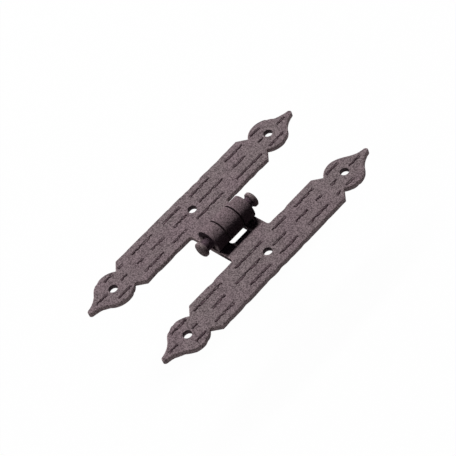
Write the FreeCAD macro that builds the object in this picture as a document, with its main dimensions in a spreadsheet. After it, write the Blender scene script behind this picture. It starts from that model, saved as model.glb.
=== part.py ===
import FreeCAD, Part
import enum
import math
import os
import Sketcher

# H hinge: two stamped strap leaves that turn on one pin with a button head at each end.
# It lies open and flat on the backs of its leaves. X runs across the straps, Y along the straps
# and the pin, Z up out of the front. The origin is on the back plane, midway between the straps
# and midway along them. Both leaves come from one blank: the second is the first turned half a
# turn about Z, with the other share of the knuckles cut away.

# Driving sizes in millimetres: name, value, what it measures.
SIZES = (
    ("overall_length", 150.0, "strap, tip to tip"),
    ("strap_spacing", 52.0, "centre line of one strap to centre line of the other"),
    ("strap_width", 22.6, "straight part of a strap"),
    ("sheet_thickness", 2.7, "steel sheet of both leaves"),
    ("shoulder_drop", 4.4, "neck to shoulder, along the strap"),
    ("neck_width", 13.6, "narrowest place between strap and finial"),
    ("bulb_radius", 10.4, "round of the finial about its screw hole"),
    ("point_length", 18.0, "centre of the round to the tip"),
    ("flank_radius", 14.0, "hollow curve between the round and the tip"),
    ("nose_radius", 1.5, "blunt tip"),
    ("hole_diameter", 4.8, "screw hole"),
    ("hole_setback", 17.5, "tip to the centre of the outer screw hole"),
    ("edge_bevel", 0.3, "bevel along the front edge"),
    ("tab_width", 26.2, "tab from strap to barrel, and the whole barrel"),
    ("tab_corner_radius", 1.4, "inside corner of tab and strap"),
    ("middle_knuckle_length", 10.0, "knuckle of the door leaf"),
    ("knuckle_gap", 0.7, "side play between two knuckles"),
    ("notch_clearance", 1.25, "barrel to the edge of the notch beside it"),
    ("notch_corner_radius", 1.8, "inside corner of a notch"),
    ("seam_gap", 0.7, "free end of the roll above the front of its own leaf"),
    ("pin_diameter", 8.2, "pin inside the barrel"),
    ("running_clearance", 0.05, "pin to bore, on the radius"),
    ("neck_diameter", 5.8, "turned neck under a head"),
    ("neck_recess", 2.0, "start of a neck inside the barrel's end"),
    ("head_stand", 3.8, "barrel's end to the underside of a head"),
    ("head_diameter", 8.2, "button head"),
    ("head_rim", 2.3, "rim of a head with its bevels, along the pin"),
    ("head_dome", 0.9, "dome of a head above its rim"),
    ("head_bevel", 0.5, "bevel of a head's rim"),
    ("dash_width", 1.8, "stamped dash at the front"),
    ("dash_depth", 0.35, "stamped dash below the front"),
    ("dash_slope", 55.0, "lean of a chisel dash's walls, in degrees"),
    ("row_offset", 6.7, "side row of dashes to the strap's centre line"),
)

# Dashes of each row: where one starts and ends. On the strap these are shares of the way from its
# middle to a shoulder. On a finial they are shares of its round, from the round's centre to the tip.
STRAP_DASHES = {
    "outer": ((-1.06, -0.98), (-0.84, -0.50), (-0.34, -0.04), (0.11, 0.45), (0.70, 1.01)),
    "middle": ((-0.90, -0.80), (-0.67, -0.46), (-0.31, -0.08), (0.11, 0.52), (0.68, 0.90)),
    "inner": ((-0.93, -0.61), (-0.47, -0.24), (-0.08, 0.37), (0.58, 1.03)),
}
UPPER_FINIAL_DASHES = {
    "outer": ((-0.58, 0.14),),
    "middle": ((-0.67, -0.28), (0.67, 1.30)),
    "inner": ((-0.56, 0.53),),
}
LOWER_FINIAL_DASHES = {
    "outer": ((-0.58, 0.05),),
    "middle": ((-0.96, -0.48), (0.40, 1.20)),
    "inner": ((-0.58, 0.34),),
}

# Places worked out from the driving sizes, as expressions for the sketches.
STRAP_LINE = "-Sizes.strap_spacing / 2"
STRAP_OUTSIDE = "-(Sizes.strap_spacing + Sizes.strap_width) / 2"
STRAP_INSIDE = "-(Sizes.strap_spacing - Sizes.strap_width) / 2"
NECK_OUTSIDE = "-(Sizes.strap_spacing + Sizes.neck_width) / 2"
NECK_INSIDE = "-(Sizes.strap_spacing - Sizes.neck_width) / 2"
NOSE = "(Sizes.overall_length / 2 - Sizes.nose_radius)"
BULB = "(Sizes.overall_length / 2 - Sizes.point_length)"
NECK = "(" + BULB + " - sqrt(Sizes.bulb_radius ^ 2 - Sizes.neck_width ^ 2 / 4))"
SHOULDER = "(" + NECK + " - Sizes.shoulder_drop)"
END_HOLE = "(Sizes.overall_length / 2 - Sizes.hole_setback)"
TAB_SIDE = "(Sizes.tab_width / 2)"
BORE_RADIUS = "(Sizes.pin_diameter / 2 + Sizes.running_clearance)"
BARREL_RADIUS = "(" + BORE_RADIUS + " + Sizes.sheet_thickness)"
NOTCH_EDGE = "(" + BARREL_RADIUS + " + Sizes.notch_clearance)"
MIDDLE_SIDE = "(Sizes.middle_knuckle_length / 2)"
MIDDLE_ROOM = "(" + MIDDLE_SIDE + " + Sizes.knuckle_gap)"
ROW_LINES = {
    "outer": STRAP_LINE + " - Sizes.row_offset",
    "middle": STRAP_LINE,
    "inner": STRAP_LINE + " + Sizes.row_offset",
}

TOUCH = 1e-4


class Place(enum.IntEnum):
    """Points of a sketched line or curve that a dimension can hold."""

    START = enum.auto()
    END = enum.auto()
    CENTRE = enum.auto()


class Axis(enum.IntEnum):
    """Lines of a sketch that pass through its origin."""

    ACROSS = -1
    ALONG = -2


def make_sheet(doc):
    """Writes the driving sizes to the document's sheet, one named cell each."""
    sheet = doc.addObject("Spreadsheet::Sheet", "Sizes")
    for row, (name, value, meaning) in enumerate(SIZES, start=1):
        sheet.set(f"A{row}", name)
        sheet.set(f"B{row}", str(value))
        sheet.setAlias(f"B{row}", name)
        sheet.set(f"C{row}", meaning)
    doc.recompute()
    return sheet


def make_body(doc, name):
    """A sub-part of its own, labelled with its node name."""
    body = doc.addObject("PartDesign::Body", name)
    body.Label = name
    return body


def make_sketch(body, name, role, height=None):
    """A sketch on one of the body's own planes, raised by the height expression."""
    sketch = body.newObject("Sketcher::SketchObject", name)
    plane = next(item for item in body.Origin.OriginFeatures if item.Role == role)
    sketch.AttachmentSupport = [(plane, "")]
    sketch.MapMode = "FlatFace"
    if height:
        sketch.setExpression("AttachmentOffset.Base.z", height)
    return sketch


def value_of(sketch, expression):
    """The number that an expression on the sheet has now."""
    return float(sketch.evalExpression(expression))


def bind(sketch, kind, references, expression):
    """Adds a dimension and ties it to the sheet."""
    index = sketch.addConstraint(Sketcher.Constraint(kind, *references, value_of(sketch, expression)))
    name = f"{kind.lower()}_{index}"
    sketch.renameConstraint(index, name)
    sketch.setExpression(f"Constraints.{name}", expression)


def locate(sketch, item, end, across=None, along=None):
    """Dimensions a point of an item from the origin; "0" puts it on the axis."""
    for kind, expression, axis in (("DistanceX", across, Axis.ALONG), ("DistanceY", along, Axis.ACROSS)):
        if expression == "0":
            sketch.addConstraint(Sketcher.Constraint("PointOnObject", item, end, axis))
        elif expression:
            bind(sketch, kind, (item, end), expression)


def add_line(sketch, start, end):
    """A straight line between two points."""
    return sketch.addGeometry(Part.LineSegment(FreeCAD.Vector(*start, 0), FreeCAD.Vector(*end, 0)))


def add_arc(sketch, centre, radius, start, end):
    """An arc that runs anticlockwise from the direction of one point to that of another."""
    angles = [math.atan2(point[1] - centre[1], point[0] - centre[0]) for point in (start, end)]
    if angles[1] <= angles[0]:
        angles[1] += 2 * math.pi
    circle = Part.Circle(FreeCAD.Vector(*centre, 0), FreeCAD.Vector(0, 0, 1), radius)
    return sketch.addGeometry(Part.ArcOfCircle(circle, *angles))


def join(sketch, item, end, other, other_end):
    """Makes two ends meet."""
    sketch.addConstraint(Sketcher.Constraint("Coincident", item, end, other, other_end))


def blend(sketch, item, end, other, other_end):
    """Makes two ends meet in one smooth run."""
    sketch.addConstraint(Sketcher.Constraint("Tangent", item, end, other, other_end))


def add_polygon(sketch, corners):
    """A closed outline of straight lines, each corner given by two expressions."""
    points = [(value_of(sketch, across), value_of(sketch, along)) for across, along in corners]
    lines = [add_line(sketch, point, points[(i + 1) % len(points)]) for i, point in enumerate(points)]
    for i, line in enumerate(lines):
        join(sketch, line, Place.END, lines[(i + 1) % len(lines)], Place.START)
    for line, (across, along) in zip(lines, corners):
        locate(sketch, line, Place.START, across, along)


def add_rectangle(sketch, left, right, low, high):
    """A rectangle between four expressions."""
    add_polygon(sketch, ((left, low), (right, low), (right, high), (left, high)))


def add_pad(body, sketch, name, length, side="One side"):
    """Raises a sketch to a length given by an expression."""
    pad = body.newObject("PartDesign::Pad", name)
    pad.Profile = sketch
    pad.SideType = side
    pad.setExpression("Length", length)
    body.Document.recompute()
    return pad


def add_pocket(body, sketch, name, depth=None, slope=None):
    """Cuts a sketch down to a depth, or upwards through everything where no depth is given."""
    before = body.Shape.Volume
    pocket = body.newObject("PartDesign::Pocket", name)
    pocket.Profile = sketch
    if depth:
        pocket.setExpression("Length", depth)
    else:
        pocket.Type = "ThroughAll"
        pocket.Reversed = True
    if slope:
        pocket.setExpression("TaperAngle", slope)
    body.Document.recompute()
    if body.Shape.Volume >= before:
        raise RuntimeError(f"{body.Label}: {name} removes nothing")
    return pocket


def add_fillet(body, base, name, edges, radius):
    """Rounds the named edges of a feature."""
    fillet = body.newObject("PartDesign::Fillet", name)
    fillet.Base = (base, edges)
    fillet.setExpression("Radius", radius)
    body.Document.recompute()
    return fillet


def add_bevel(body, base, name, edges, size):
    """Bevels the named edges of a feature."""
    bevel = body.newObject("PartDesign::Chamfer", name)
    bevel.Base = (base, edges)
    bevel.setExpression("Size", size)
    body.Document.recompute()
    return bevel


def add_mirror(body, feature, name):
    """Repeats a feature at the other end, across the middle of the straps."""
    mirror = body.newObject("PartDesign::Mirrored", name)
    mirror.Originals = [feature]
    plane = next(item for item in body.Origin.OriginFeatures if item.Role == "XZ_Plane")
    mirror.MirrorPlane = (plane, [""])
    body.Tip = mirror
    body.Document.recompute()
    return mirror


def edge_names(feature, wanted):
    """Names of the edges whose two end points both pass the test."""
    names = []
    for number, edge in enumerate(feature.Shape.Edges, start=1):
        ends = [edge.valueAt(edge.FirstParameter), edge.valueAt(edge.LastParameter)]
        if all(wanted(point) for point in ends):
            names.append(f"Edge{number}")
    return names


def draw_finial(sketch):
    """The leaf-shaped end above the neck: a round, two hollow flanks and a blunt tip."""
    middle = value_of(sketch, STRAP_LINE)
    bulb_height = value_of(sketch, BULB)
    nose_height = value_of(sketch, NOSE)
    bulb_radius = value_of(sketch, "Sizes.bulb_radius")
    flank_radius = value_of(sketch, "Sizes.flank_radius")
    nose_radius = value_of(sketch, "Sizes.nose_radius")
    neck_height = value_of(sketch, NECK)
    to_bulb = bulb_radius + flank_radius
    to_nose = nose_radius + flank_radius
    span = nose_height - bulb_height
    rise = (to_bulb ** 2 - to_nose ** 2 + span ** 2) / (2 * span)
    out = math.sqrt(to_bulb ** 2 - rise ** 2)
    neck_left = (value_of(sketch, NECK_OUTSIDE), neck_height)
    neck_right = (value_of(sketch, NECK_INSIDE), neck_height)
    bulb_centre = (middle, bulb_height)
    nose_centre = (middle, nose_height)
    flank_centres = [(middle + side * out, bulb_height + rise) for side in (-1, 1)]

    base = add_line(sketch, neck_left, neck_right)
    bulb_right = add_arc(sketch, bulb_centre, bulb_radius, neck_right, flank_centres[1])
    flank_right = add_arc(sketch, flank_centres[1], flank_radius, nose_centre, bulb_centre)
    nose = add_arc(sketch, nose_centre, nose_radius, flank_centres[1], flank_centres[0])
    flank_left = add_arc(sketch, flank_centres[0], flank_radius, bulb_centre, nose_centre)
    bulb_left = add_arc(sketch, bulb_centre, bulb_radius, flank_centres[0], neck_left)

    join(sketch, base, Place.END, bulb_right, Place.START)
    blend(sketch, bulb_right, Place.END, flank_right, Place.END)
    blend(sketch, flank_right, Place.START, nose, Place.START)
    blend(sketch, nose, Place.END, flank_left, Place.END)
    blend(sketch, flank_left, Place.START, bulb_left, Place.START)
    join(sketch, bulb_left, Place.END, base, Place.START)
    join(sketch, bulb_right, Place.CENTRE, bulb_left, Place.CENTRE)
    sketch.addConstraint(Sketcher.Constraint("Equal", bulb_right, bulb_left))
    sketch.addConstraint(Sketcher.Constraint("Equal", flank_right, flank_left))
    bind(sketch, "Radius", (bulb_right,), "Sizes.bulb_radius")
    bind(sketch, "Radius", (flank_right,), "Sizes.flank_radius")
    bind(sketch, "Radius", (nose,), "Sizes.nose_radius")
    locate(sketch, bulb_right, Place.CENTRE, STRAP_LINE, BULB)
    locate(sketch, nose, Place.CENTRE, STRAP_LINE, NOSE)
    locate(sketch, base, Place.START, NECK_OUTSIDE)
    locate(sketch, base, Place.END, NECK_INSIDE)


def draw_roll(sketch):
    """The sheet's path round the pin: from the flat under it, up and over, back to its own leaf."""
    outside = value_of(sketch, BARREL_RADIUS)
    inside = value_of(sketch, BORE_RADIUS)
    end_height = "Sizes.sheet_thickness + Sizes.seam_gap"
    drop = value_of(sketch, end_height) - outside
    reach = -math.sqrt(outside ** 2 - drop ** 2)
    share = inside / outside
    centre = (0.0, outside)
    free_outside = (reach, outside + drop)
    free_inside = (reach * share, outside + drop * share)
    flat_outside = (0.0, 0.0)
    flat_inside = (0.0, outside - inside)

    outer = add_arc(sketch, centre, outside, flat_outside, free_outside)
    inner = add_arc(sketch, centre, inside, flat_inside, free_inside)
    free_end = add_line(sketch, free_outside, free_inside)
    flat_end = add_line(sketch, flat_inside, flat_outside)
    join(sketch, outer, Place.END, free_end, Place.START)
    join(sketch, free_end, Place.END, inner, Place.END)
    join(sketch, inner, Place.START, flat_end, Place.START)
    join(sketch, flat_end, Place.END, outer, Place.START)
    join(sketch, outer, Place.CENTRE, inner, Place.CENTRE)
    sketch.addConstraint(Sketcher.Constraint("PointOnObject", outer, Place.CENTRE, free_end))
    bind(sketch, "Radius", (outer,), BARREL_RADIUS)
    bind(sketch, "Radius", (inner,), BORE_RADIUS)
    locate(sketch, outer, Place.CENTRE, "0", BARREL_RADIUS)
    locate(sketch, flat_end, Place.START, "0")
    locate(sketch, flat_end, Place.END, "0")
    locate(sketch, free_end, Place.START, None, end_height)


def draw_holes(sketch):
    """One screw hole in the middle of the strap and one in each finial."""
    for along in ("0", END_HOLE, "-" + END_HOLE):
        centre = FreeCAD.Vector(value_of(sketch, STRAP_LINE), value_of(sketch, along), 0)
        radius = value_of(sketch, "Sizes.hole_diameter / 2")
        hole = sketch.addGeometry(Part.Circle(centre, FreeCAD.Vector(0, 0, 1), radius))
        bind(sketch, "Diameter", (hole,), "Sizes.hole_diameter")
        locate(sketch, hole, Place.CENTRE, STRAP_LINE, along)


def draw_dashes(sketch, row):
    """The stamped dashes of one row, on the strap and on both of its finials."""
    spans = [(f"{low} * {SHOULDER}", f"{high} * {SHOULDER}") for low, high in STRAP_DASHES[row]]
    for low, high in UPPER_FINIAL_DASHES[row]:
        spans.append((f"{BULB} + {low} * Sizes.bulb_radius", f"{BULB} + {high} * Sizes.bulb_radius"))
    for low, high in LOWER_FINIAL_DASHES[row]:
        spans.append((f"-{BULB} - {high} * Sizes.bulb_radius", f"-{BULB} - {low} * Sizes.bulb_radius"))
    left = f"{ROW_LINES[row]} - Sizes.dash_width / 2"
    right = f"{ROW_LINES[row]} + Sizes.dash_width / 2"
    for low, high in spans:
        add_rectangle(sketch, left, right, low, high)


def make_blank(body):
    """The flat blank with its punched edge: strap, two finials and the tab towards the pin."""
    strap_sketch = make_sketch(body, "strap_outline", "XY_Plane")
    add_polygon(strap_sketch, (
        (STRAP_OUTSIDE, "-" + SHOULDER),
        (NECK_OUTSIDE, "-" + NECK),
        (NECK_INSIDE, "-" + NECK),
        (STRAP_INSIDE, "-" + SHOULDER),
        (STRAP_INSIDE, SHOULDER),
        (NECK_INSIDE, NECK),
        (NECK_OUTSIDE, NECK),
        (STRAP_OUTSIDE, SHOULDER),
    ))
    add_pad(body, strap_sketch, "strap", "Sizes.sheet_thickness")
    finial_sketch = make_sketch(body, "finial_outline", "XY_Plane")
    draw_finial(finial_sketch)
    finial = add_pad(body, finial_sketch, "finial", "Sizes.sheet_thickness")
    add_mirror(body, finial, "other_finial")
    tab_sketch = make_sketch(body, "tab_outline", "XY_Plane")
    add_rectangle(tab_sketch, STRAP_INSIDE, "0", "-" + TAB_SIDE, TAB_SIDE)
    tab = add_pad(body, tab_sketch, "tab", "Sizes.sheet_thickness")

    strap_inside = value_of(tab_sketch, STRAP_INSIDE)
    tab_side = value_of(tab_sketch, TAB_SIDE)
    front = value_of(tab_sketch, "Sizes.sheet_thickness")

    def in_tab_corner(point):
        return abs(point.x - strap_inside) < TOUCH and abs(abs(point.y) - tab_side) < TOUCH

    corners = add_fillet(body, tab, "tab_corners", edge_names(tab, in_tab_corner), "Sizes.tab_corner_radius")

    def on_front_outline(point):
        return abs(point.z - front) < TOUCH

    fold_line = edge_names(corners, lambda point: abs(point.x) < TOUCH)
    outline = [name for name in edge_names(corners, on_front_outline) if name not in fold_line]
    add_bevel(body, corners, "front_edge", outline, "Sizes.edge_bevel")


def make_leaf(doc, name, notches):
    """A leaf: the blank, rolled into a barrel at the tab, then notched, drilled and stamped."""
    body = make_body(doc, name)
    make_blank(body)
    roll_sketch = make_sketch(body, "roll_section", "XZ_Plane")
    draw_roll(roll_sketch)
    add_pad(body, roll_sketch, "roll", "Sizes.tab_width", "Symmetric")

    notch_sketch = make_sketch(body, "notch_outline", "XY_Plane")
    for low, high in notches:
        add_rectangle(notch_sketch, "-" + NOTCH_EDGE, NOTCH_EDGE, low, high)
    notch = add_pocket(body, notch_sketch, "notch")
    notch_edge = -value_of(notch_sketch, NOTCH_EDGE)
    tab_side = value_of(notch_sketch, TAB_SIDE)

    def in_notch_corner(point):
        return abs(point.x - notch_edge) < TOUCH and abs(point.y) < tab_side / 2

    corner_names = [
        edge_name for edge_name in edge_names(notch, in_notch_corner)
        if is_upright(notch.Shape, edge_name)
    ]
    add_fillet(body, notch, "notch_corners", corner_names, "Sizes.notch_corner_radius")

    hole_sketch = make_sketch(body, "screw_hole_centres", "XY_Plane")
    draw_holes(hole_sketch)
    add_pocket(body, hole_sketch, "screw_holes")
    for row in STRAP_DASHES:
        dash_sketch = make_sketch(body, f"{row}_dashes", "XY_Plane", "Sizes.sheet_thickness")
        draw_dashes(dash_sketch, row)
        add_pocket(body, dash_sketch, f"{row}_dash_row", "Sizes.dash_depth", "-Sizes.dash_slope")
    return body


def is_upright(shape, edge_name):
    """True for an edge that runs straight up through the sheet."""
    edge = shape.getElement(edge_name)
    start = edge.valueAt(edge.FirstParameter)
    end = edge.valueAt(edge.LastParameter)
    return math.hypot(start.x - end.x, start.y - end.y) < TOUCH


def draw_half_pin(sketch):
    """Half of the pin's outline, from its middle to the top of one head."""
    shank = "Sizes.pin_diameter / 2"
    neck = "Sizes.neck_diameter / 2"
    head = "Sizes.head_diameter / 2"
    flat = f"({head} - Sizes.head_bevel)"
    neck_start = f"({TAB_SIDE} - Sizes.neck_recess)"
    neck_end = f"({TAB_SIDE} + Sizes.head_stand)"
    rim_end = f"{neck_end} + Sizes.head_rim"
    tip = f"{rim_end} + Sizes.head_dome"
    corners = (
        ("0", tip),
        ("0", "0"),
        (shank, "0"),
        (shank, neck_start),
        (neck, f"{neck_start} + {shank} - {neck}"),
        (neck, neck_end),
        (flat, neck_end),
        (head, f"{neck_end} + Sizes.head_bevel"),
        (head, f"{rim_end} - Sizes.head_bevel"),
        (flat, rim_end),
    )
    points = [(value_of(sketch, across), value_of(sketch, along)) for across, along in corners]
    lines = [add_line(sketch, start, end) for start, end in zip(points, points[1:])]
    for line, following in zip(lines, lines[1:]):
        join(sketch, line, Place.END, following, Place.START)
    rise = value_of(sketch, "Sizes.head_dome")
    reach = value_of(sketch, flat)
    dome_radius = (reach ** 2 + rise ** 2) / (2 * rise)
    dome = add_arc(sketch, (0.0, points[0][1] - dome_radius), dome_radius, points[-1], points[0])
    join(sketch, lines[-1], Place.END, dome, Place.START)
    join(sketch, dome, Place.END, lines[0], Place.START)
    for line, (across, along) in zip(lines, corners):
        locate(sketch, line, Place.START, across, along)
    locate(sketch, dome, Place.START, *corners[-1])
    locate(sketch, dome, Place.CENTRE, "0")


def make_pin(doc):
    """The hinge pin: a turned rod with a narrow neck and a button head at each end."""
    body = make_body(doc, "hinge_pin")
    sketch = make_sketch(body, "half_pin_outline", "XY_Plane")
    draw_half_pin(sketch)
    half = body.newObject("PartDesign::Revolution", "half_pin")
    half.Profile = sketch
    half.ReferenceAxis = (sketch, ["V_Axis"])
    doc.recompute()
    add_mirror(body, half, "whole_pin")
    body.setExpression("Placement.Base.z", BARREL_RADIUS)
    doc.recompute()
    return body


def check(doc, bodies):
    """Stops where an object failed, or where a sub-part isn't one valid solid."""
    for item in doc.Objects:
        if {"Invalid", "Error"} & set(item.State):
            raise RuntimeError(f"{item.Label} failed: {item.State}")
    for body in bodies:
        shape = body.Shape
        if shape.isNull() or not shape.isValid() or len(shape.Solids) != 1:
            raise RuntimeError(f"{body.Label} isn't one valid solid")


def main():
    """Builds the three pieces and writes one file for each."""
    doc = FreeCAD.newDocument("h_hinge")
    make_sheet(doc)
    past_end = f"({TAB_SIDE} + Sizes.knuckle_gap)"
    end_notches = (("-" + past_end, "-" + MIDDLE_SIDE), (MIDDLE_SIDE, past_end))
    middle_notch = (("-" + MIDDLE_ROOM, MIDDLE_ROOM),)
    door_leaf = make_leaf(doc, "door_leaf", end_notches)
    frame_leaf = make_leaf(doc, "frame_leaf", middle_notch)
    frame_leaf.Placement = FreeCAD.Placement(FreeCAD.Vector(), FreeCAD.Rotation(FreeCAD.Vector(0, 0, 1), 180))
    pin = make_pin(doc)
    doc.recompute()
    bodies = (door_leaf, frame_leaf, pin)
    check(doc, bodies)
    os.makedirs("parts", exist_ok=True)
    for body in bodies:
        body.Shape.exportStep(f"parts/{body.Label}.step")
        print(body.Label, "volume", round(body.Shape.Volume, 1), "box", body.Shape.BoundBox)


main()
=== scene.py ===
"""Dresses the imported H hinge: two strap leaves and their pin in a sandy mauve-brown coat, on white."""
import logging
import math
from dataclasses import dataclass
from enum import Enum
from typing import ClassVar

import bmesh
import bpy
from mathutils import Matrix, Vector, noise


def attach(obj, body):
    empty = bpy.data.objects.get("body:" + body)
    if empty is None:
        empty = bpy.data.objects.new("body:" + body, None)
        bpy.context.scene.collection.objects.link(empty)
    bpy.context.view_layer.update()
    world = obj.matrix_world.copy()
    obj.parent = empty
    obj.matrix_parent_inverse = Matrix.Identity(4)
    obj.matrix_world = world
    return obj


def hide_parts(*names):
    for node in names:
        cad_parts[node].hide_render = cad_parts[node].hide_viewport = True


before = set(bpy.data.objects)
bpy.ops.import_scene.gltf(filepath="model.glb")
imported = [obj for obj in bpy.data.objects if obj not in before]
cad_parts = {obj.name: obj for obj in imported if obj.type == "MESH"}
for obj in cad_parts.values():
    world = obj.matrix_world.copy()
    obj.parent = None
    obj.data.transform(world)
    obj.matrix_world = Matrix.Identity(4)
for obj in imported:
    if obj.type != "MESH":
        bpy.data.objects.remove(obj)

LOG = logging.getLogger("h_hinge")
WHITE = (1.0, 1.0, 1.0, 1.0)


class Mask(Enum):
    """Named masks that a piece's mesh carries for its coat."""

    # Screw holes and dashes with painted shade, and the dark pooled coat in the dashes.
    POOL_AND_SHADE = "pool_and_shade"
    # Upright walls and rolled ends, which get painted bounce light.
    PAINTED_BOUNCE_LIGHT = "painted_bounce_light"
    # Faces of the barrel, where painted shade is laid.
    BARREL = "barrel"
    # Faces of the pin's necks, which get painted shade.
    NECK = "neck"


@dataclass(frozen=True)
class Rgb:
    """A linear colour."""

    red: float
    green: float
    blue: float

    def rgba(self) -> tuple[float, float, float, float]:
        """Returns the colour with full alpha."""
        return (self.red, self.green, self.blue, 1.0)


class Wiring:
    """Small steps that the node trees are built from."""

    @staticmethod
    def feed(
        tree: bpy.types.NodeTree,
        given: bpy.types.NodeSocket | float,
        socket: bpy.types.NodeSocket,
    ) -> None:
        """Links a socket to another one, or sets its value.

        Args:
            tree: the tree.
            given: the socket to link from, or the value.
            socket: the socket that takes it.
        """
        if isinstance(given, bpy.types.NodeSocket):
            tree.links.new(given, socket)
        else:
            socket.default_value = given

    @classmethod
    def calculate(
        cls,
        tree: bpy.types.NodeTree,
        operation: str,
        first: bpy.types.NodeSocket | float,
        second: bpy.types.NodeSocket | float = 0.0,
    ) -> bpy.types.NodeSocket:
        """Adds a sum to a tree.

        Args:
            tree: the tree.
            operation: the sum's kind.
            first: socket or value of the first number.
            second: socket or value of the second number, where the sum has one.

        Returns:
            The socket of the result.
        """
        node = tree.nodes.new("ShaderNodeMath")
        node.operation = operation
        cls.feed(tree, first, node.inputs[0])
        cls.feed(tree, second, node.inputs[1])
        return node.outputs[0]

    @classmethod
    def remap(
        cls,
        tree: bpy.types.NodeTree,
        value: bpy.types.NodeSocket,
        limits: dict[str, bpy.types.NodeSocket | float],
        smooth: bool = False,
    ) -> bpy.types.NodeSocket:
        """Carries a number over from one range to another.

        Args:
            tree: the tree.
            value: socket of the number.
            limits: sockets or values of the ranges' ends, where they aren't 0 and 1.
            smooth: whether the change starts and ends gently.

        Returns:
            The socket of the result.
        """
        node = tree.nodes.new("ShaderNodeMapRange")
        if smooth:
            node.interpolation_type = "SMOOTHSTEP"
        tree.links.new(value, node.inputs["Value"])
        for name, limit in limits.items():
            cls.feed(tree, limit, node.inputs[name])
        return node.outputs["Result"]


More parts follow.
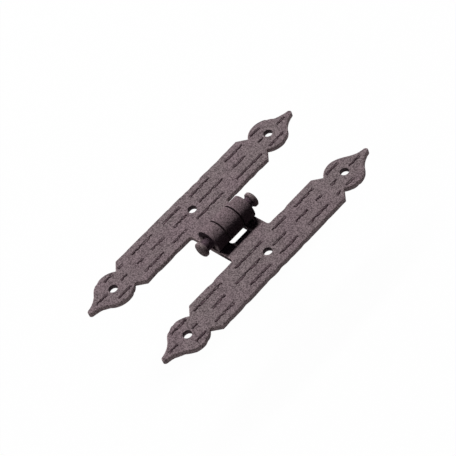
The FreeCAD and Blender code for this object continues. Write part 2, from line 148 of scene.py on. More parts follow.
class NodeGroups:
    """Shader effects that the coats share, each built once."""

    GRAIN_DETAIL: float = 3.0
    GRAIN_ROUGHNESS: float = 0.75
    MIDDLE: float = 0.5
    DRIFT_DETAIL: float = 2.0
    DRIFT_LOW: float = 0.35
    DRIFT_HIGH: float = 0.65
    SLIT_CORE: float = 0.5

    @staticmethod
    def _start(name: str, inputs: dict[str, float], outputs: tuple[str, ...]) -> bpy.types.NodeTree:
        """Makes an empty group with number sockets.

        Args:
            name: the group's name.
            inputs: socket names and their default values.
            outputs: names of the number sockets that it puts out.

        Returns:
            The group, with its input and output nodes placed.
        """
        tree = bpy.data.node_groups.new(name, "ShaderNodeTree")
        for socket, value in inputs.items():
            made = tree.interface.new_socket(name=socket, in_out="INPUT", socket_type="NodeSocketFloat")
            made.default_value = value
        for socket in outputs:
            tree.interface.new_socket(name=socket, in_out="OUTPUT", socket_type="NodeSocketFloat")
        tree.nodes.new("NodeGroupInput").name = "given"
        tree.nodes.new("NodeGroupOutput").name = "result"
        return tree

    @staticmethod
    def _place(tree: bpy.types.NodeTree) -> bpy.types.Node:
        """Adds the place on the piece, split along its axes.

        Args:
            tree: the group.

        Returns:
            The node that puts out X, Y and Z.
        """
        place = tree.nodes.new("ShaderNodeTexCoord")
        split = tree.nodes.new("ShaderNodeSeparateXYZ")
        tree.links.new(place.outputs["Object"], split.inputs["Vector"])
        return split

    @classmethod
    def grain(cls) -> bpy.types.NodeTree:
        """Builds the sandy grain of a sprayed coat, or finds it where it is built.

        Returns:
            The group, which puts out a mask of pale and dark specks, and a height.
        """
        found = bpy.data.node_groups.get("coat_grain")
        if found:
            return found
        inputs = {"Grains per metre": 1500.0, "Contrast": 1.0}
        tree = cls._start("coat_grain", inputs, ("Speck", "Height"))
        nodes, links = tree.nodes, tree.links
        given, result = nodes["given"], nodes["result"]
        place = nodes.new("ShaderNodeTexCoord")
        specks = nodes.new("ShaderNodeTexNoise")
        specks.inputs["Detail"].default_value = cls.GRAIN_DETAIL
        specks.inputs["Roughness"].default_value = cls.GRAIN_ROUGHNESS
        links.new(place.outputs["Object"], specks.inputs["Vector"])
        links.new(given.outputs["Grains per metre"], specks.inputs["Scale"])
        centred = Wiring.calculate(tree, "SUBTRACT", specks.outputs["Fac"], cls.MIDDLE)
        spread = Wiring.calculate(tree, "MULTIPLY", centred, given.outputs["Contrast"])
        shown = Wiring.calculate(tree, "ADD", spread, cls.MIDDLE)
        shown.node.use_clamp = True
        links.new(shown, result.inputs["Speck"])
        links.new(specks.outputs["Fac"], result.inputs["Height"])
        return tree

    @classmethod
    def drift(cls) -> bpy.types.NodeTree:
        """Builds the slow change of tone over a coat, or finds it where it is built.

        Returns:
            The group, which puts out a mask.
        """
        found = bpy.data.node_groups.get("coat_drift")
        if found:
            return found
        tree = cls._start("coat_drift", {"Patches per metre": 60.0}, ("Patch",))
        nodes, links = tree.nodes, tree.links
        place = nodes.new("ShaderNodeTexCoord")
        cloud = nodes.new("ShaderNodeTexNoise")
        cloud.inputs["Detail"].default_value = cls.DRIFT_DETAIL
        links.new(place.outputs["Object"], cloud.inputs["Vector"])
        links.new(nodes["given"].outputs["Patches per metre"], cloud.inputs["Scale"])
        limits = {"From Min": cls.DRIFT_LOW, "From Max": cls.DRIFT_HIGH}
        links.new(Wiring.remap(tree, cloud.outputs["Fac"], limits), nodes["result"].inputs["Patch"])
        return tree

    @classmethod
    def oil_film(cls) -> bpy.types.NodeTree:
        """Builds the thin film of oil on both sides of the pin, or finds it where it is built.

        Returns:
            The group, which puts out a mask that fades away from the pin.
        """
        found = bpy.data.node_groups.get("oil_film")
        if found:
            return found
        inputs = {"Full until": 0.007, "Gone from": 0.016, "Along": 0.018}
        tree = cls._start("oil_film", inputs, ("Film",))
        given, place = tree.nodes["given"], cls._place(tree)
        across = Wiring.calculate(tree, "ABSOLUTE", place.outputs["X"])
        along = Wiring.calculate(tree, "ABSOLUTE", place.outputs["Y"])
        inside = Wiring.calculate(tree, "LESS_THAN", along, given.outputs["Along"])
        limits = {
            "From Min": given.outputs["Full until"],
            "From Max": given.outputs["Gone from"],
            "To Min": 1.0,
            "To Max": 0.0,
        }
        fade = Wiring.remap(tree, across, limits, smooth=True)
        film = Wiring.calculate(tree, "MULTIPLY", fade, inside)
        tree.links.new(film, tree.nodes["result"].inputs["Film"])
        return tree

    @classmethod
    def barrel_painted_shade(cls) -> bpy.types.NodeTree:
        """Builds the painted shade of the barrel, or finds it where it is built.

        Returns:
            The group, which puts out a mask of painted shade: beside the slits, on the seam flank turned
            away from the key light and on the end rings.
        """
        found = bpy.data.node_groups.get("barrel_painted_shade")
        if found:
            return found
        inputs = {
            "Slit": 0.0054,
            "Reach": 0.0006,
            "Flank from": 0.0047,
            "Flank to": 0.0069,
            "Flank share": 0.8,
            "End ring": 0.01308,
            "Ring from": 0.005,
            "Ring to": 0.009,
        }
        tree = cls._start("barrel_painted_shade", inputs, ("Painted shade",))
        given, place = tree.nodes["given"].outputs, cls._place(tree)
        along = Wiring.calculate(tree, "ABSOLUTE", place.outputs["Y"])
        offset = Wiring.calculate(tree, "SUBTRACT", along, given["Slit"])
        away = Wiring.calculate(tree, "ABSOLUTE", offset)
        share = Wiring.calculate(tree, "DIVIDE", away, given["Reach"])
        # Painted shadow in the gaps beside the slits between the knuckles.
        beside = {"From Min": cls.SLIT_CORE, "From Max": 1.0, "To Min": 1.0, "To Max": 0.0}
        slit = Wiring.remap(tree, share, beside, smooth=True)
        # Painted shade on the barrel's flank turned away from the key light.
        turned = {
            "From Min": given["Flank from"],
            "From Max": given["Flank to"],
            "To Max": given["Flank share"],
        }
        flank = Wiring.remap(tree, place.outputs["X"], turned, smooth=True)
        # Painted shade on the upper part of the barrel's end rings.
        raised = {"From Min": given["Ring from"], "From Max": given["Ring to"]}
        rise = Wiring.remap(tree, place.outputs["Z"], raised, smooth=True)
        at_end = Wiring.calculate(tree, "GREATER_THAN", along, given["End ring"])
        ring = Wiring.calculate(tree, "MULTIPLY", rise, at_end)
        on_round = Wiring.calculate(tree, "MAXIMUM", slit, flank)
        painted_shade = Wiring.calculate(tree, "MAXIMUM", on_round, ring)
        tree.links.new(painted_shade, tree.nodes["result"].inputs["Painted shade"])
        return tree


@dataclass(frozen=True)
class Coat:
    """A matte, finely grained coat on steel."""

    name: str
    base: Rgb
    drifted: Rgb
    oiled: Rgb
    dark: Rgb
    pale: Rgb
    # Dark colour of the coat pooled in the dashes, which also paints the shade in the dashes and screw
    # holes.
    pool_and_shade: Rgb
    # Lighter colour that paints the floor's bounce light on upright walls and rolled ends.
    painted_bounce_light: Rgb
    # Colour of the painted shade on the barrel and on the pin's necks.
    painted_shade: Rgb
    grains: float = 1667.0
    contrast: float = 5.0
    bump: float = 0.6
    bump_depth: float = 0.00012
    roughness: float = 0.75
    specular: float = 0.03

    def material(self) -> bpy.types.Material:
        """Builds the coat's material, or finds it where it is built.

        Returns:
            The material, with its grain, drift, painted shade in the grooves, painted bounce light on the
            cut edges, and painted shade on the barrel and necks.
        """
        found = bpy.data.materials.get(self.name)
        if found:
            return found
        material = bpy.data.materials.new(self.name)
        material.use_nodes = True
        tree = material.node_tree
        nodes, links = tree.nodes, tree.links
        shader = nodes["Principled BSDF"]
        shader.inputs["Roughness"].default_value = self.roughness
        shader.inputs["Specular IOR Level"].default_value = self.specular
        grain = self._effect(tree, NodeGroups.grain())
        grain.inputs["Grains per metre"].default_value = self.grains
        grain.inputs["Contrast"].default_value = self.contrast
        drift = self._effect(tree, NodeGroups.drift())
        film = self._effect(tree, NodeGroups.oil_film())
        # Painted shade on the barrel: by the slits, on the far flank and on the end rings.
        painted_shade = self._effect(tree, NodeGroups.barrel_painted_shade())

        tone = nodes.new("ShaderNodeMix")
        tone.data_type = "RGBA"
        tone.inputs["A"].default_value = self.base.rgba()
        tone.inputs["B"].default_value = self.drifted.rgba()
        links.new(drift.outputs["Patch"], tone.inputs["Factor"])
        oiled = self._over(tree, film.outputs["Film"], tone.outputs["Result"], self.oiled)
        # Painted bounce light on the upright walls and the barrel's rolled ends.
        bounce_lit = self._over(tree, self._mask(tree, Mask.PAINTED_BOUNCE_LIGHT), oiled, self.painted_bounce_light)
        # Painted shade in the screw holes and dashes, and the dark pooled coat.
        sunk = self._over(tree, self._mask(tree, Mask.POOL_AND_SHADE), bounce_lit, self.pool_and_shade)
        # Painted shade on the pin's necks.
        neck_shaded = self._over(tree, self._mask(tree, Mask.NECK), sunk, self.painted_shade)
        # Painted shade laid over the barrel.
        barrel = self._mask(tree, Mask.BARREL)
        on_barrel = Wiring.calculate(tree, "MULTIPLY", barrel, painted_shade.outputs["Painted shade"])
        shade_painted = self._over(tree, on_barrel, neck_shaded, self.painted_shade)

        specks = nodes.new("ShaderNodeValToRGB")
        specks.color_ramp.elements[0].color = self.dark.rgba()
        specks.color_ramp.elements[1].color = self.pale.rgba()
        links.new(grain.outputs["Speck"], specks.inputs["Fac"])
        speckled = nodes.new("ShaderNodeMix")
        speckled.data_type = "RGBA"
        speckled.blend_type = "MULTIPLY"
        speckled.inputs["Factor"].default_value = 1.0
        links.new(shade_painted, speckled.inputs["A"])
        links.new(specks.outputs["Color"], speckled.inputs["B"])
        links.new(speckled.outputs["Result"], shader.inputs["Base Color"])
        bump = nodes.new("ShaderNodeBump")
        bump.inputs["Strength"].default_value = self.bump
        bump.inputs["Distance"].default_value = self.bump_depth
        links.new(grain.outputs["Height"], bump.inputs["Height"])
        links.new(bump.outputs["Normal"], shader.inputs["Normal"])
        return material

    @staticmethod
    def _effect(tree: bpy.types.NodeTree, group: bpy.types.NodeTree) -> bpy.types.Node:
        """Puts a shared effect into a material.

        Args:
            tree: the material's tree.
            group: the effect's group.

        Returns:
            The node that holds the group.
        """
        node = tree.nodes.new("ShaderNodeGroup")
        node.node_tree = group
        return node

    @staticmethod
    def _mask(tree: bpy.types.NodeTree, mask: Mask) -> bpy.types.NodeSocket:
        """Reads one of the mesh's own masks.

        Args:
            tree: the material's tree.
            mask: the mask.

        Returns:
            The socket of the mask.
        """
        read = tree.nodes.new("ShaderNodeAttribute")
        read.attribute_name = mask.value
        return read.outputs["Fac"]

    @staticmethod
    def _over(
        tree: bpy.types.NodeTree,
        mask: bpy.types.NodeSocket,
        under: bpy.types.NodeSocket,
        colour: Rgb,
    ) -> bpy.types.NodeSocket:
        """Lays a colour over another where a mask says so.

        Args:
            tree: the material's tree.
            mask: socket of the mask.
            under: socket of the colour below.
            colour: the colour on top.

        Returns:
            The socket of the mixed colour.
        """
        mix = tree.nodes.new("ShaderNodeMix")
        mix.data_type = "RGBA"
        tree.links.new(mask, mix.inputs["Factor"])
        tree.links.new(under, mix.inputs["A"])
        mix.inputs["B"].default_value = colour.rgba()
        return mix.outputs["Result"]


@dataclass
class CadSkin:
    """A smooth-shaded skin over one CAD node, in the node's own form."""

    node: str
    body: str
    slot: str
    coat: Coat
    smooth_angle: float = math.radians(32)
    flat_angle: float = math.radians(0.5)
    weld: float = 1e-6
    near: float = 1e-5
    close: float = 1e-4

    def build(self) -> bpy.types.Object:
        """Builds the skin from the node's form and gives it its masks.

        Returns:
            The new piece, riding on its body in the node's place.
        """
        mesh = bpy.data.meshes.new(f"{self.node}_skin")
        form = bmesh.new()
        form.from_mesh(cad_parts[self.node].data)
        bmesh.ops.remove_doubles(form, verts=form.verts, dist=self.weld)
        bmesh.ops.dissolve_limit(form, angle_limit=self.flat_angle, verts=form.verts, edges=form.edges)
        self.refine(form)
        form.to_mesh(mesh)
        form.free()
        for name in [item.name for item in mesh.attributes if item.name.startswith("custom_normal")]:
            mesh.attributes.remove(mesh.attributes[name])
        for face in mesh.polygons:
            face.use_smooth = True
        mesh.set_sharp_from_angle(angle=self.smooth_angle)
        for mask in Mask:
            layer = mesh.attributes.new(mask.value, "FLOAT", "FACE")
            layer.data.foreach_set("value", [self.share(mask, face) for face in mesh.polygons])
        mesh.materials.clear()
        mesh.materials.append(self.coat.material())
        piece = bpy.data.objects.new(f"{self.node}_skin", mesh)
        bpy.context.scene.collection.objects.link(piece)
        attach(piece, self.body)
        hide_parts(self.node)
        LOG.info("%s: %d faces", piece.name, len(mesh.polygons))
        return piece

    def refine(self, form: bmesh.types.BMesh) -> None:
        """Makes the form finer where the piece needs it."""

    def share(self, mask: Mask, face: bpy.types.MeshPolygon) -> float:
        """Returns how much of a mask a face carries."""
        return 0.0


@dataclass
class LeafSkin(CadSkin):
    """The skin of a strap leaf, with its dashes, cut edges and rolled barrel."""

    sheet: float = 0.0027
    straight: float = 0.05
    dash_depth: float = 0.00035
    dash_reach: float = 0.0010
    dash_limit: float = 0.072
    dash_normal: float = 0.5
    # Share of painted shade on the dashes' walls and floors.
    dash_shade: float = 0.08
    row_lines: tuple[float, ...] = (0.0193, 0.026, 0.0327)
    strap_line: float = 0.026
    hole_places: tuple[float, ...] = (-0.0575, 0.0, 0.0575)
    hole_radius: float = 0.0024
    # Share of painted shade on the screw holes' walls.
    hole_shade: float = 0.35
    edge_normal: float = 0.8
    end_normal: float = 0.9
    barrel_radius: float = 0.00685
    barrel_cuts: int = 2
    strap_half: float = 0.0113
    side_band: float = 0.0004
    side_shortest: float = 0.008
    side_step: float = 0.0012
    dents_per_metre: float = 210.0
    dent_sides_apart: float = 1000.0
    dent_layer: float = 0.5
    dent_gain: float = 1.8
    dent_depth: float = 0.00050
    dent_run_in: float = 0.008
    finial_start: float = 0.050
    finial_middle: float = 0.0575
    finial_tip: float = 0.075
    finial_core: float = 0.004
    bevel_normals: tuple[float, float] = (0.3, 0.95)
    ruffle_depth: float = 0.00045
    ruffles_per_metre: float = 330.0
    ruffle_run_in: float = 0.003

    def refine(self, form: bmesh.types.BMesh) -> None:
        """Makes the barrel rounder, and the strap's long sides and its finials slightly uneven."""
        self.round_barrel(form)
        self.hammer_sides(form)
        self.ruffle_finials(form)

    def round_barrel(self, form: bmesh.types.BMesh) -> None:
        """Splits the barrel's outer faces and sets the new points on its round.

        Args:
            form: the leaf's form.
        """
        before = set(form.verts)
        arcs = [edge for edge in form.edges if self.on_round(edge)]
        bmesh.ops.subdivide_edges(form, edges=arcs, cuts=self.barrel_cuts, use_grid_fill=True)
        for point in form.verts:
            if point not in before:
                out = Vector((point.co.x, point.co.z - self.barrel_radius))
                if abs(out.length - self.barrel_radius) < self.close:
                    out = out.normalized() * self.barrel_radius
                    point.co.x, point.co.z = out.x, out.y + self.barrel_radius

    def on_round(self, edge: bmesh.types.BMEdge) -> bool:
        """Tells whether an edge is a short chord of the barrel's outer round.

        Args:
            edge: an edge of the leaf's form.

        Returns:
            True where both ends lie on the round and at the same place along the pin.
        """
        first, second = (point.co for point in edge.verts)
        if abs(first.y - second.y) > self.near or (first - second).length < self.close:
            return False
        return all(
            abs(math.hypot(co.x, co.z - self.barrel_radius) - self.barrel_radius) < self.near
            for co in (first, second)
        )

    def hammer_sides(self, form: bmesh.types.BMesh) -> None:
        """Gives the strap's long sides the shallow dents of a hammered edge.

        Args:
            form: the leaf's form.
        """
        sides = []
        for edge in [edge for edge in form.edges if self.on_side(edge)]:
            low, high = sorted((point.co.copy() for point in edge.verts), key=lambda co: co.y)
            sides.append((low, high))
            cuts = round(edge.calc_length() / self.side_step) - 1
            bmesh.ops.bisect_edges(form, edges=[edge], cuts=cuts)
        runs: dict[tuple[bool, int], list[list[bmesh.types.BMVert]]] = {}
        for low, high in sorted(sides, key=lambda side: side[0].z):
            run = (abs(low.x) > self.strap_line, round((low.y + high.y) / self.strap_line))
            runs.setdefault(run, []).append(self.between(form, low, high))
        for chains in runs.values():
            for lower, upper in zip(chains, chains[1:]):
                for first, second in zip(lower, upper):
                    (wall,) = set(first.link_faces) & set(second.link_faces)
                    bmesh.utils.face_split(wall, first, second)
            first_y, last_y = chains[0][0].co.y, chains[0][-1].co.y
            for ring in zip(*chains):
                room = min(ring[0].co.y - first_y, last_y - ring[0].co.y)
                depth = self.dent(ring[0].co) * min(1.0, room / self.dent_run_in)
                for point in ring:
                    point.co.x -= depth

    def on_side(self, edge: bmesh.types.BMEdge) -> bool:
        """Tells whether an edge runs along a long side of the strap.

        Args:
            edge: an edge of the leaf's form.

        Returns:
            True for a long, bent edge at the strap's half width.
        """
        first, second = (point.co for point in edge.verts)
        if abs(first.x - second.x) > self.near or abs(first.z - second.z) > self.near:
            return False
        inset = self.strap_half - abs(abs(first.x) - self.strap_line)
        bent = edge.calc_face_angle(0.0) > self.smooth_angle / 2
        return bent and abs(inset) < self.side_band and edge.calc_length() > self.side_shortest

    def between(self, form: bmesh.types.BMesh, low: Vector, high: Vector) -> list[bmesh.types.BMVert]:
        """Finds the points inside one line of a long side.

        Args:
            form: the leaf's form.
            low: the line's end at lower y.
            high: its end at higher y.

        Returns:
            The points in their order along the line.
        """
        inside = [
            point
            for point in form.verts
            if abs(point.co.x - low.x) < self.near
            and abs(point.co.z - low.z) < self.near
            and low.y + self.near < point.co.y < high.y - self.near
        ]
        return sorted(inside, key=lambda point: point.co.y)

    def dent(self, place: Vector) -> float:
        """Tells how far a place on a long side is hammered in.

        Args:
            place: the place, on the side's lower edge.

        Returns:
            The dent's depth, negative where the side faces towards lower x.
        """
        outwards = math.copysign(1.0, place.x - math.copysign(self.strap_line, place.x))
        along, side = place.y * self.dents_per_metre, place.x * self.dent_sides_apart
        return outwards * self.dent_depth * self.hollow(along, side)

    def hollow(self, along: float, across: float) -> float:
        """Returns the share of a full dent, from 0 to 1, at a place counted in dents."""
        return min(1.0, max(0.0, self.dent_gain * noise.noise(Vector((along, across, self.dent_layer)))))

    def ruffle_finials(self, form: bmesh.types.BMesh) -> None:
        """Gives the outline of both finials the shallow dents of a hammered edge.

        Args:
            form: the leaf's form.
        """
        for point in self.finial_outline(form):
            place = point.co.copy()
            room = min(abs(place.y) - self.finial_start, self.finial_tip - abs(place.y))
            fade = min(1.0, max(0.0, room / self.ruffle_run_in))
            share = self.hollow(place.x * self.ruffles_per_metre, place.y * self.ruffles_per_metre)
            inwards = self.from_finial(place).normalized() * -(self.ruffle_depth * fade * share)
            point.co.x += inwards.x
            point.co.y += inwards.y

    def finial_outline(self, form: bmesh.types.BMesh) -> set[bmesh.types.BMVert]:
        """Finds the points of the finials' cut edges and of the bevels above them.

        Args:
            form: the leaf's form.

        Returns:
            The points, without those of the screw holes.
        """
        form.normal_update()
        outline = {
            point
            for face in form.faces
            if abs(face.normal.z) < self.straight
            for point in face.verts
            if abs(point.co.y) > self.finial_start
            and self.from_finial(point.co).length > self.finial_core
        }
        least, most = self.bevel_normals
        bevels = [
            face
            for face in form.faces
            if least < face.normal.z < most and sum(point in outline for point in face.verts) > 1
        ]
        return outline.union(point for face in bevels for point in face.verts)

    def from_finial(self, place: Vector) -> Vector:
        """Returns the way from the middle of the nearest finial to a place, along the sheet."""
        across = place.x - math.copysign(self.strap_line, place.x)
        return Vector((across, place.y - math.copysign(self.finial_middle, place.y)))

    def in_dash(self, face: bpy.types.MeshPolygon) -> bool:
        """Tells whether a face is a wall or the floor of a stamped dash.

        Args:
            face: a face of the skin.

        Returns:
            True for a face below the front that lies in a row of dashes.
        """
        middle, normal = face.center, face.normal
        floor, front = self.sheet - self.dash_depth - self.near, self.sheet - self.near
        sunk = floor < middle.z < front and normal.z > self.dash_normal
        in_row = any(abs(abs(middle.x) - line) < self.dash_reach for line in self.row_lines)
        square = min(abs(normal.x), abs(normal.y)) < self.straight
        return sunk and in_row and square and abs(middle.y) < self.dash_limit

    def in_hole(self, face: bpy.types.MeshPolygon) -> bool:
        """Tells whether a face is part of a screw hole's wall.

        Args:
            face: a face of the skin.

        Returns:
            True for a face within a hole's radius.
        """
        across = abs(face.center.x) - self.strap_line
        reach = self.hole_radius + self.close
        return any(math.hypot(across, face.center.y - place) < reach for place in self.hole_places)

    def share(self, mask: Mask, face: bpy.types.MeshPolygon) -> float:
        """Tells how much of a mask a face carries.

        Args:
            mask: the mask asked for.
            face: a face of the skin.

        Returns:
            0 where the coat is plain, up to 1 where it differs in full.
        """
        in_hole, in_dash = self.in_hole(face), self.in_dash(face)
        on_barrel = abs(face.center.x) < self.barrel_radius + self.near and face.center.z > self.sheet
        # Painted shade in the screw holes and dashes.
        if mask is Mask.POOL_AND_SHADE:
            return self.hole_shade * in_hole + self.dash_shade * in_dash
        # Painted bounce light on the upright walls and the barrel's rolled ends.
        if mask is Mask.PAINTED_BOUNCE_LIGHT:
            upright = abs(face.normal.z) < self.edge_normal and face.center.z < self.sheet
            rolled_end = on_barrel and abs(face.normal.y) > self.end_normal
            return float((upright or rolled_end) and not in_hole and not in_dash)
        # The barrel, where painted shade is laid.
        return float(mask is Mask.BARREL and on_barrel)


@dataclass
class PinSkin(CadSkin):
    """The skin of the hinge pin, with painted shade on its necks."""

    smooth_angle: float = math.radians(50)
    axis_height: float = 0.00685
    neck_radius: float = 0.0029

    def share(self, mask: Mask, face: bpy.types.MeshPolygon) -> float:
        """Returns how much of a mask a face carries: only the necks differ, with painted shade."""
        radius = math.hypot(face.center.x, face.center.z - self.axis_height)
        return float(mask is Mask.NECK and abs(radius - self.neck_radius) < self.close)


@dataclass
class DashPoolsAndShade:
    """Dark coat pooled unevenly in the stamped dashes of one leaf, which also paints the dashes' shade."""

    WAVE_LOW: ClassVar[float] = 0.38
    WAVE_HIGH: ClassVar[float] = 0.62
    WAVE_DETAIL: ClassVar[float] = 1.0
    SWELL_TWIST: ClassVar[float] = 1.5
    SEAM: ClassVar[float] = 1e-6

    leaf: LeafSkin
    coat: Coat
    level: float = 0.00005
    sink: float = 0.00002
    half_width: float = 0.00036
    wander: float = 0.00058
    swell: float = 0.65
    step: float = 0.0004
    waves: float = 480.0
    seed: float = 3.0
    end_room: float = 0.00025
    floor_normal: float = 0.99

    def build(self, skin: bpy.types.Object) -> bpy.types.Object:
        """Lays a bar of dark coat along the floor of each dash, which also paints the dash's shade.

        Args:
            skin: the leaf's skin, whose dash floors are followed.

        Returns:
            The bars as one piece, riding with the leaf.
        """
        spans = self.spans(skin.data)
        line = bpy.data.meshes.new(f"{self.leaf.node}_dash_lines")
        base = self.leaf.sheet - self.leaf.dash_depth - self.sink
        points = [(x, y, base) for x, low, high in spans for y in (low, high)]
        line.from_pydata(points, [(2 * i, 2 * i + 1) for i in range(len(spans))], [])
        carrier = bpy.data.objects.new(f"{self.leaf.node}_dash_lines", line)
        bpy.context.scene.collection.objects.link(carrier)
        modifier = carrier.modifiers.new("pools", "NODES")
        modifier.node_group = self.strip_nodes()
        sockets = {item.name: item.identifier for item in modifier.node_group.interface.items_tree}
        values = {
            "Height": self.leaf.dash_depth + self.sink - self.level,
            "Half width": self.half_width,
            "Wander": self.wander,
            "Swell": self.swell,
            "Step": self.step,
            "Waves": self.waves,
            "Seed": self.seed,
            "Coat": self.coat.material(),
        }
        for name, value in values.items():
            modifier[sockets[name]] = value
        graph = bpy.context.evaluated_depsgraph_get()
        mesh = bpy.data.meshes.new_from_object(carrier.evaluated_get(graph))
        mesh.name = f"{self.leaf.node}_dash_pools_and_shade"
        bpy.data.objects.remove(carrier)
        bpy.data.meshes.remove(line)
        form = bmesh.new()
        form.from_mesh(mesh)
        bmesh.ops.recalc_face_normals(form, faces=form.faces)
        form.to_mesh(mesh)
        form.free()
        piece = bpy.data.objects.new(mesh.name, mesh)
        bpy.context.scene.collection.objects.link(piece)
        # The bars take the full colour of the pooled coat and painted shade.
        layer = mesh.attributes.new(Mask.POOL_AND_SHADE.value, "FLOAT", "FACE")
        layer.data.foreach_set("value", [1.0] * len(mesh.polygons))
        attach(piece, self.leaf.body)
        LOG.info("%s: %d dashes, %d faces", piece.name, len(spans), len(mesh.polygons))
        return piece

    def spans(self, mesh: bpy.types.Mesh) -> list[tuple[float, float, float]]:
        """Finds the floors of the dashes.

        Args:
            mesh: the leaf's skin.

        Returns:
            For each dash its row line and its two ends.
        """
        found = []
        floor = self.leaf.sheet - self.leaf.dash_depth
        for face in mesh.polygons:
            level = face.normal.z > self.floor_normal and abs(face.center.z - floor) < self.leaf.near
            if level and self.leaf.in_dash(face):
                corners = [mesh.vertices[i].co for i in face.vertices]
                low = min(co.y for co in corners) - self.end_room
                high = max(co.y for co in corners) + self.end_room
                found.append((face.center.x, low, high))
        return found

    @classmethod
    def strip_nodes(cls) -> bpy.types.NodeTree:
        """Builds the nodes that lay the pools, or finds them where they are built.

        Returns:
            The tree, which turns straight lines into wavy low bars of changing width.
        """
        found = bpy.data.node_groups.get("dash_strips")
        if found:
            return found
        tree = bpy.data.node_groups.new("dash_strips", "GeometryNodeTree")
        face = tree.interface
        face.new_socket(name="Lines", in_out="INPUT", socket_type="NodeSocketGeometry")
        for name in ("Height", "Half width", "Wander", "Swell", "Step", "Waves", "Seed"):
            face.new_socket(name=name, in_out="INPUT", socket_type="NodeSocketFloat")
        face.new_socket(name="Coat", in_out="INPUT", socket_type="NodeSocketMaterial")
        face.new_socket(name="Strips", in_out="OUTPUT", socket_type="NodeSocketGeometry")
        nodes, links = tree.nodes, tree.links
        given, result = nodes.new("NodeGroupInput"), nodes.new("NodeGroupOutput")
        strip = cls._strip(tree, given, cls._wavy_line(tree, given))
        real = nodes.new("GeometryNodeRealizeInstances")
        links.new(cls._bar(tree, given, strip), real.inputs["Geometry"])
        coated = nodes.new("GeometryNodeSetMaterial")
        links.new(real.outputs["Geometry"], coated.inputs["Geometry"])
        links.new(given.outputs["Coat"], coated.inputs["Material"])
        links.new(coated.outputs["Geometry"], result.inputs["Strips"])
        return tree

    @classmethod
    def _waves(cls, tree: bpy.types.NodeTree, given: bpy.types.Node, twist: float) -> bpy.types.NodeSocket:
        """Adds the uneven waves that a pool follows.

        Args:
            tree: the pools' tree.
            given: its input node.
            twist: how far the waves are drawn out of line.

        Returns:
            The socket of the waves.
        """
        waves = tree.nodes.new("ShaderNodeTexNoise")
        waves.noise_dimensions = "4D"
        waves.inputs["Detail"].default_value = cls.WAVE_DETAIL
        waves.inputs["Distortion"].default_value = twist
        tree.links.new(given.outputs["Waves"], waves.inputs["Scale"])
        tree.links.new(given.outputs["Seed"], waves.inputs["W"])
        return waves.outputs["Fac"]

    @classmethod
    def _wavy_line(cls, tree: bpy.types.NodeTree, given: bpy.types.Node) -> bpy.types.NodeSocket:
        """Cuts the given lines into short steps and sways them across the dash.

        Args:
            tree: the pools' tree.
            given: its input node.

        Returns:
            The socket of the swaying lines.
        """
        nodes, links = tree.nodes, tree.links
        curve = nodes.new("GeometryNodeMeshToCurve")
        links.new(given.outputs["Lines"], curve.inputs["Mesh"])
        fine = nodes.new("GeometryNodeResampleCurve")
        fine.mode = "LENGTH"
        links.new(curve.outputs["Curve"], fine.inputs["Curve"])
        links.new(given.outputs["Step"], fine.inputs["Length"])
        limits = {"From Min": cls.WAVE_LOW, "From Max": cls.WAVE_HIGH, "To Min": -1.0}
        sway = Wiring.remap(tree, cls._waves(tree, given, 0.0), limits)
        across = nodes.new("ShaderNodeCombineXYZ")
        links.new(Wiring.calculate(tree, "MULTIPLY", sway, given.outputs["Wander"]), across.inputs["X"])
        moved = nodes.new("GeometryNodeSetPosition")
        links.new(fine.outputs["Curve"], moved.inputs["Geometry"])
        links.new(across.outputs["Vector"], moved.inputs["Offset"])
        return moved.outputs["Geometry"]

    @classmethod
    def _strip(
        cls,
        tree: bpy.types.NodeTree,
        given: bpy.types.Node,
        line: bpy.types.NodeSocket,
    ) -> bpy.types.NodeSocket:
        """Widens the lines into flat strips that swell and narrow.

        Args:
            tree: the pools' tree.
            given: its input node.
            line: socket of the lines.

        Returns:
            The socket of the strips.
        """
        nodes, links = tree.nodes, tree.links
        limits = {
            "From Min": cls.WAVE_LOW,
            "From Max": cls.WAVE_HIGH,
            "To Min": Wiring.calculate(tree, "SUBTRACT", 1.0, given.outputs["Swell"]),
            "To Max": Wiring.calculate(tree, "ADD", 1.0, given.outputs["Swell"]),
        }
        swell = Wiring.remap(tree, cls._waves(tree, given, cls.SWELL_TWIST), limits)
        normal = nodes.new("GeometryNodeSetCurveNormal")
        normal.mode = "Z_UP"
        links.new(line, normal.inputs["Curve"])
        profile = nodes.new("GeometryNodeCurvePrimitiveLine")
        profile.inputs["Start"].default_value = (-1.0, 0.0, 0.0)
        profile.inputs["End"].default_value = (1.0, 0.0, 0.0)
        strip = nodes.new("GeometryNodeCurveToMesh")
        links.new(normal.outputs["Curve"], strip.inputs["Curve"])
        links.new(profile.outputs["Curve"], strip.inputs["Profile Curve"])
        half_width = Wiring.calculate(tree, "MULTIPLY", swell, given.outputs["Half width"])
        links.new(half_width, strip.inputs["Scale"])
        return strip.outputs["Mesh"]

    @classmethod
    def _bar(
        cls,
        tree: bpy.types.NodeTree,
        given: bpy.types.Node,
        strip: bpy.types.NodeSocket,
    ) -> bpy.types.NodeSocket:
        """Raises the strips into closed bars.

        Args:
            tree: the pools' tree.
            given: its input node.
            strip: socket of the strips.

        Returns:
            The socket of the bars.
        """
        nodes, links = tree.nodes, tree.links
        lift = nodes.new("ShaderNodeCombineXYZ")
        links.new(given.outputs["Height"], lift.inputs["Z"])
        raised = nodes.new("GeometryNodeExtrudeMesh")
        raised.inputs["Individual"].default_value = False
        links.new(strip, raised.inputs["Mesh"])
        links.new(lift.outputs["Vector"], raised.inputs["Offset"])
        under = nodes.new("GeometryNodeFlipFaces")
        links.new(strip, under.inputs["Mesh"])
        both = nodes.new("GeometryNodeJoinGeometry")
        links.new(raised.outputs["Mesh"], both.inputs["Geometry"])
        links.new(under.outputs["Mesh"], both.inputs["Geometry"])
        closed = nodes.new("GeometryNodeMergeByDistance")
        closed.inputs["Distance"].default_value = cls.SEAM
        links.new(both.outputs["Geometry"], closed.inputs["Geometry"])
        return closed.outputs["Geometry"]


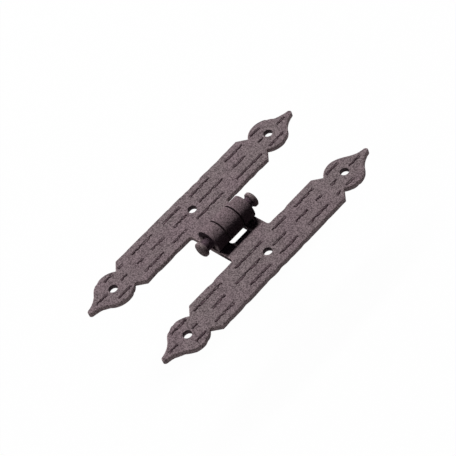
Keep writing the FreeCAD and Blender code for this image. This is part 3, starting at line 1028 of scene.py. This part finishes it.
@dataclass
class Studio:
    """White floor, one long soft key over the door leaf's side and a camera at the photographed view."""

    azimuth: float = math.radians(60.165)
    elevation: float = math.radians(46.844)
    roll: float = math.radians(-22.822)
    distance: float = 0.903003
    slide: tuple[float, float] = (-0.001313, 0.002557)
    focal_px: float = 1855.52
    image_px: float = 456.0
    sensor_mm: float = 36.0
    nearest: float = 0.01
    key_direction: tuple[float, float, float] = (-0.56, 0.10, 0.82)
    key_distance: float = 2.0
    key_width: float = 0.20
    key_length: float = 1.84
    key_power: float = 59.5
    ambient: float = 0.007
    ambient_tint: Rgb = Rgb(0.85, 0.55, 1.30)
    floor_level: float = -0.0385
    floor_albedo: float = 0.62
    floor_glow: float = 0.985
    floor_reach: float = 4.0

    def build(self) -> None:
        """Builds the stage, the light and the camera."""
        self.make_camera()
        self.make_key()
        self.make_floor()
        self.make_world()
        bpy.context.scene.view_settings.view_transform = "Standard"

    def make_camera(self) -> None:
        """Sets the camera at the photographed view."""
        ca, sa = math.cos(self.azimuth), math.sin(self.azimuth)
        ce, se = math.cos(self.elevation), math.sin(self.elevation)
        back = Vector((sa * ce, -ca * ce, se))
        level = Vector((ca, sa, 0.0))
        rise = back.cross(level)
        cr, sr = math.cos(self.roll), math.sin(self.roll)
        right = cr * level + sr * rise
        up = cr * rise - sr * level
        eye = back * self.distance + right * self.slide[0] + up * self.slide[1]
        data = bpy.data.cameras.new("photo_view")
        data.sensor_fit = "HORIZONTAL"
        data.sensor_width = self.sensor_mm
        data.lens = self.focal_px / self.image_px * self.sensor_mm
        data.clip_start = self.nearest
        camera = bpy.data.objects.new("photo_view", data)
        turn = Matrix((right, up, back)).transposed()
        camera.matrix_world = Matrix.Translation(eye) @ turn.to_4x4()
        bpy.context.scene.collection.objects.link(camera)
        bpy.context.scene.camera = camera

    def make_key(self) -> None:
        """Hangs the key light over the door leaf's side, its length along the straps."""
        data = bpy.data.lights.new("key", "AREA")
        data.shape = "RECTANGLE"
        data.size = self.key_width
        data.size_y = self.key_length
        data.energy = self.key_power
        lamp = bpy.data.objects.new("key", data)
        towards = Vector(self.key_direction).normalized()
        across = Vector((0.0, 1.0, 0.0)).cross(towards).normalized()
        along = towards.cross(across)
        lamp.location = towards * self.key_distance
        lamp.rotation_euler = Matrix((across, along, towards)).transposed().to_euler()
        bpy.context.scene.collection.objects.link(lamp)

    @staticmethod
    def seen_directly(tree: bpy.types.NodeTree) -> bpy.types.NodeSocket:
        """Adds the test for rays from the camera, a mirror or through glass.

        Args:
            tree: the material's or the surroundings' tree.

        Returns:
            The socket that is 1 for such a ray.
        """
        path = tree.nodes.new("ShaderNodeLightPath")
        total = path.outputs["Is Camera Ray"]
        for kind in ("Is Glossy Ray", "Is Transmission Ray"):
            total = Wiring.calculate(tree, "ADD", total, path.outputs[kind])
            total.node.use_clamp = True
        return total

    def make_floor(self) -> None:
        """Lays the white floor just below the reach of the door leaf when it hangs straight down."""
        mesh = bpy.data.meshes.new("floor")
        reach = self.floor_reach
        corners = [(-reach, -reach), (reach, -reach), (reach, reach), (-reach, reach)]
        mesh.from_pydata([(x, y, self.floor_level) for x, y in corners], [], [(0, 1, 2, 3)])
        floor = bpy.data.objects.new("floor", mesh)
        bpy.context.scene.collection.objects.link(floor)
        material = bpy.data.materials.new("floor_white")
        material.use_nodes = True
        tree = material.node_tree
        nodes, links = tree.nodes, tree.links
        nodes.clear()
        paint = nodes.new("ShaderNodeBsdfDiffuse")
        paint.inputs["Color"].default_value = (self.floor_albedo,) * 3 + (1.0,)
        glow = nodes.new("ShaderNodeEmission")
        mix = nodes.new("ShaderNodeMixShader")
        out = nodes.new("ShaderNodeOutputMaterial")
        share = Wiring.calculate(tree, "MULTIPLY", self.seen_directly(tree), self.floor_glow)
        links.new(share, mix.inputs["Fac"])
        links.new(paint.outputs[0], mix.inputs[1])
        links.new(glow.outputs[0], mix.inputs[2])
        links.new(mix.outputs[0], out.inputs["Surface"])
        mesh.materials.append(material)

    def make_world(self) -> None:
        """Fills the surroundings: white to the camera, dim and cool to the hinge."""
        world = bpy.data.worlds.new("surroundings")
        bpy.context.scene.world = world
        world.use_nodes = True
        tree = world.node_tree
        nodes, links = tree.nodes, tree.links
        nodes.clear()
        dim = nodes.new("ShaderNodeBackground")
        dim.inputs["Color"].default_value = self.ambient_tint.rgba()
        dim.inputs["Strength"].default_value = self.ambient
        white = nodes.new("ShaderNodeBackground")
        white.inputs["Color"].default_value = WHITE
        mix = nodes.new("ShaderNodeMixShader")
        out = nodes.new("ShaderNodeOutputWorld")
        links.new(self.seen_directly(tree), mix.inputs["Fac"])
        links.new(dim.outputs[0], mix.inputs[1])
        links.new(white.outputs[0], mix.inputs[2])
        links.new(mix.outputs[0], out.inputs["Surface"])


LEAF_COAT = Coat(
    name="sandy_leaf_coat",
    base=Rgb(0.165, 0.123, 0.134),
    drifted=Rgb(0.162, 0.128, 0.133),
    oiled=Rgb(0.140, 0.103, 0.112),
    dark=Rgb(0.40, 0.38, 0.39),
    pale=Rgb(1.60, 1.62, 1.61),
    # Pooled coat in the dashes, also painting the shade of dashes and screw holes.
    pool_and_shade=Rgb(0.062, 0.040, 0.047),
    # Painted bounce light on the upright walls and rolled ends.
    painted_bounce_light=Rgb(0.295, 0.226, 0.232),
    # Painted shade on the barrel's slits, far flank and end rings.
    painted_shade=Rgb(0.030, 0.018, 0.024),
)
PIN_COAT = Coat(
    name="sandy_pin_coat",
    base=Rgb(0.185, 0.141, 0.148),
    drifted=Rgb(0.177, 0.141, 0.141),
    oiled=Rgb(0.185, 0.141, 0.148),
    dark=Rgb(0.40, 0.38, 0.39),
    pale=Rgb(1.60, 1.62, 1.61),
    # Painted shade of recesses, which no face of the pin carries.
    pool_and_shade=Rgb(0.050, 0.030, 0.037),
    # Painted bounce light, which no face of the pin carries.
    painted_bounce_light=Rgb(0.280, 0.214, 0.220),
    # Painted shade on the pin's necks.
    painted_shade=Rgb(0.075, 0.050, 0.062),
)


def main() -> None:
    """Builds the hinge's pieces and the stage."""
    logging.basicConfig(level=logging.INFO)
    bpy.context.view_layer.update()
    for leaf in (
        LeafSkin("frame_leaf", "frame", "leaf_coat", LEAF_COAT),
        LeafSkin("door_leaf", "door", "leaf_coat", LEAF_COAT),
    ):
        DashPoolsAndShade(leaf, LEAF_COAT).build(leaf.build())
    PinSkin("hinge_pin", "frame", "pin_coat", PIN_COAT).build()
    Studio().build()


if __name__ == "__main__":
    main()
